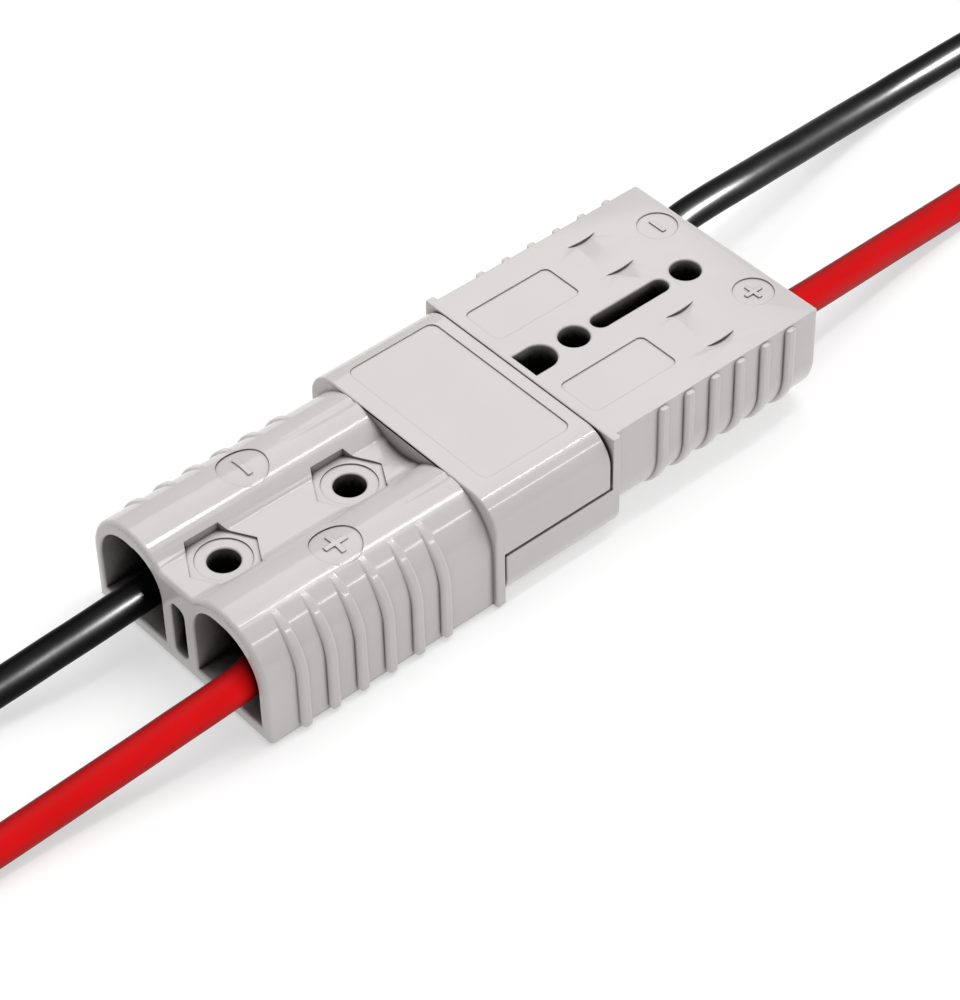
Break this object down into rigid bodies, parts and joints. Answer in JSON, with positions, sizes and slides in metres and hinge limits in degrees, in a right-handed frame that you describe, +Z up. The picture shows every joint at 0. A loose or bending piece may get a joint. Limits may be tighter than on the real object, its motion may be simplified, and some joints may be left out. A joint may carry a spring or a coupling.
{
  "type": "genderless power connector",
  "caption": "Mated pair of identical genderless two-pole power connector housings in light grey plastic, with black and red cables leaving both ends.",
  "frame": {"origin": "centre of the mated pair's footprint, on the plane the pair rests on", "axes": "+X along the pair from half A to half B, +Y towards the black (negative) cables, +Z up"},
  "size_m": [0.406, 0.0679, 0.026],
  "materials": {
    "housing": "light grey moulded thermoplastic, satin to glossy",
    "contact": "silver-plated copper, stamped and formed",
    "spring": "bare spring steel strip",
    "strands": "bare stranded copper",
    "jacket_black": "glossy soft cable jacket",
    "jacket_red": "glossy soft cable jacket",
    "lug": "tin-plated copper",
    "sleeve_black": "shrunk tubing, satin",
    "sleeve_red": "shrunk tubing, satin"
  },
  "bodies": {
    "half_a": {"housing_a": "housing", "contact_a_neg": "contact", "spring_a_neg": "spring", "strands_a_neg": "strands", "jacket_a_neg": "jacket_black", "lug_a_neg": "lug", "sleeve_a_neg": "sleeve_black", "contact_a_pos": "contact", "spring_a_pos": "spring", "strands_a_pos": "strands", "jacket_a_pos": "jacket_red", "lug_a_pos": "lug", "sleeve_a_pos": "sleeve_red"},
    "half_b": {"housing_b": "housing", "contact_b_neg": "contact", "spring_b_neg": "spring", "strands_b_neg": "strands", "jacket_b_neg": "jacket_black", "lug_b_neg": "lug", "sleeve_b_neg": "sleeve_black", "contact_b_pos": "contact", "spring_b_pos": "spring", "strands_b_pos": "strands", "jacket_b_pos": "jacket_red", "lug_b_pos": "lug", "sleeve_b_pos": "sleeve_red"}
  },
  "joints": [
    {"name": "unmate", "type": "slide", "parent": "half_a", "child": "half_b", "axis": [1, 0, 0], "range_m": [0, 0.06]}
  ]
}
